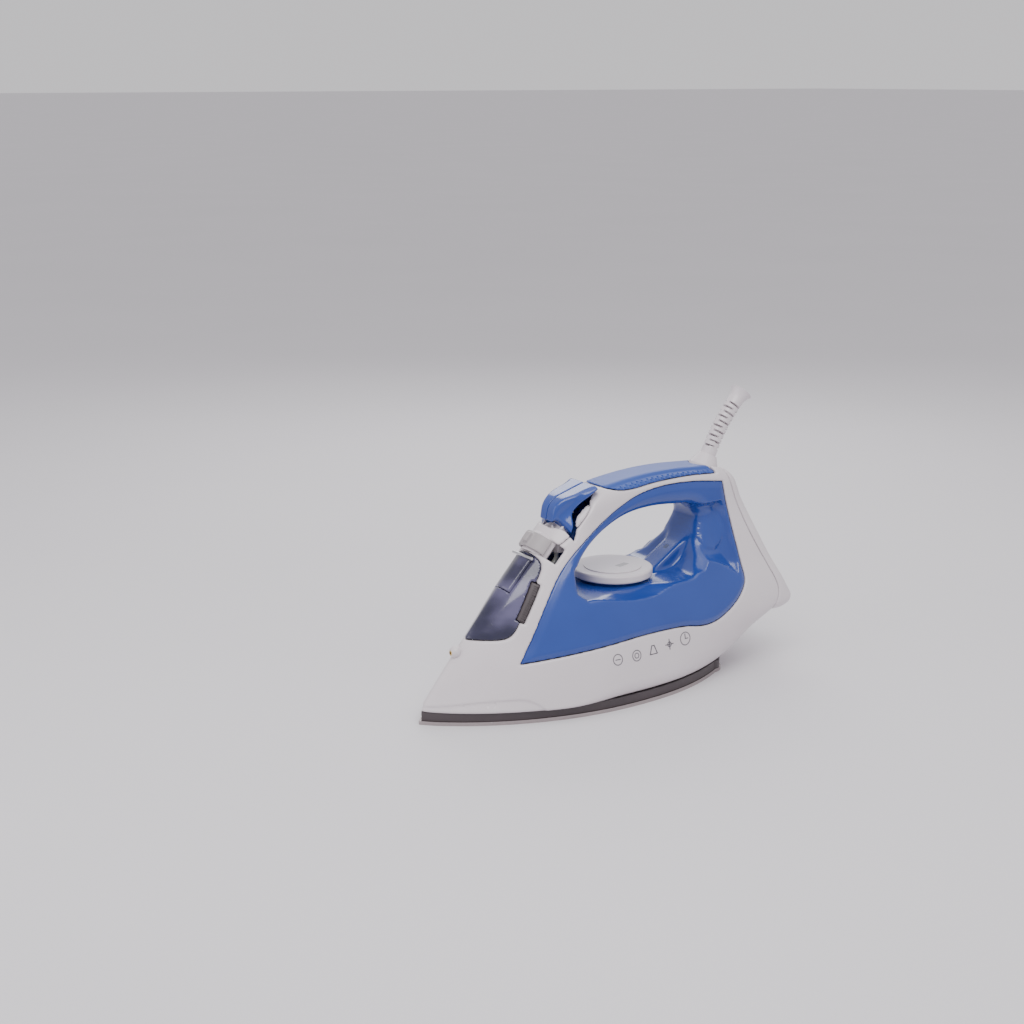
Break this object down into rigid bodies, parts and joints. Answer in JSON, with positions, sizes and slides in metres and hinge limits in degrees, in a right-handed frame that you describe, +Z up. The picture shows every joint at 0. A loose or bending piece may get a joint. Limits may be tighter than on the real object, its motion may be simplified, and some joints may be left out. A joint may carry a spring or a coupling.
{
  "type": "steam iron",
  "caption": "Steam iron with soleplate, see-through water tank, temperature dial, steam lever, spray and burst buttons, open handle and swivelling cord outlet.",
  "frame": {"origin": "middle of the iron's footprint, on the underside of the soleplate", "axes": "+Z up; nose towards -X, heel towards +X; symmetric about Y = 0, the side with the spray button at -Y"},
  "size_m": [0.284, 0.112, 0.1911],
  "materials": {
    "white_plastic": "satin moulded",
    "blue_plastic": "gloss moulded",
    "soft_grip": "soft touch",
    "tank_plastic": "clear tinted",
    "grey_plastic": "satin",
    "dark_plastic": "matte",
    "pale_metal": "polished",
    "cast_metal": "as cast",
    "steel": "bright",
    "brass": "turned",
    "seal_rubber": "matte",
    "clear_tube": "silicone",
    "lens": "dark clear",
    "board": "laminate"
  },
  "bodies": {
    "iron_body": {"main_housing": "white_plastic", "front_cover": "white_plastic", "inner_handle": "blue_plastic", "grip_pad": "soft_grip", "rear_cover": "white_plastic", "rear_screws": "steel", "water_tank": "tank_plastic", "level_bars": "dark_plastic", "tank_seal": "seal_rubber", "door_pin": "steel", "valve_seat": "brass", "rod_spring": "steel", "spray_spring": "steel", "burst_spring": "steel", "pump_block": "white_plastic", "spray_tube": "clear_tube", "burst_tube": "clear_tube", "suction_tube": "clear_tube", "spray_nozzle": "white_plastic", "nozzle_tip": "brass", "pilot_lens": "lens", "pilot_lamp": "lens", "soleplate": "pale_metal", "base_shield": "dark_plastic", "heater_casting": "cast_metal", "heating_element": "steel", "chamber_cover": "steel", "chamber_screws": "steel", "heat_sheet": "steel", "base_screws": "steel", "thermostat": "dark_plastic", "thermal_fuse": "steel", "auto_off_board": "board", "terminal_block": "white_plastic", "cord_clamp": "white_plastic", "lead_wires": "seal_rubber"},
    "dial": {"temperature_dial": "white_plastic", "dial_cap": "white_plastic", "dial_spindle": "steel", "spindle_clip": "steel"},
    "steam_lever": {"steam_lever": "grey_plastic", "steam_cam": "grey_plastic"},
    "valve_rod": {"valve_rod": "steel", "valve_tip": "seal_rubber"},
    "fill_door": {"fill_door": "tank_plastic", "door_seal": "seal_rubber"},
    "spray_button": {"spray_button": "blue_plastic", "spray_piston": "grey_plastic"},
    "burst_button": {"burst_button": "blue_plastic", "burst_piston": "grey_plastic"},
    "cord_outlet": {"swivel_collar": "white_plastic", "cord_guard": "white_plastic"}
  },
  "joints": [
    {"name": "dial_turn", "type": "hinge", "parent": "iron_body", "child": "dial", "pos_m": [0.0118, 0, 0.0736], "axis": [0, 0, 1], "range_deg": [-150, 120]},
    {"name": "lever_swing", "type": "hinge", "parent": "iron_body", "child": "steam_lever", "pos_m": [-0.04606, 0, 0.09945], "axis": [0.6654, 0, 0.7465], "range_deg": [-20, 20]},
    {"name": "valve_lift", "type": "slide", "parent": "iron_body", "child": "valve_rod", "axis": [0, 0, 1], "range_m": [-0.0015, 0.0015], "deforming": ["rod_spring"]},
    {"name": "door_open", "type": "hinge", "parent": "iron_body", "child": "fill_door", "pos_m": [-0.06187, 0, 0.09854], "axis": [0, 1, 0], "range_deg": [0, 84]},
    {"name": "spray_press", "type": "slide", "parent": "iron_body", "child": "spray_button", "axis": [0, 0, -1], "range_m": [0, 0.0035], "stiffness_N_per_m": 500, "springref_m": -0.001, "deforming": ["spray_spring"]},
    {"name": "burst_press", "type": "slide", "parent": "iron_body", "child": "burst_button", "axis": [0, 0, -1], "range_m": [0, 0.0035], "stiffness_N_per_m": 500, "springref_m": -0.001, "deforming": ["burst_spring"]},
    {"name": "cord_swivel", "type": "hinge", "parent": "iron_body", "child": "cord_outlet", "pos_m": [0.0898, 0, 0.137], "axis": [0.4384, 0, 0.8988], "range_deg": [-90, 90]}
  ],
  "couplings": [
    {"joint": "valve_lift", "follows": "lever_swing", "m_per_rad": 0.0042972}
  ]
}
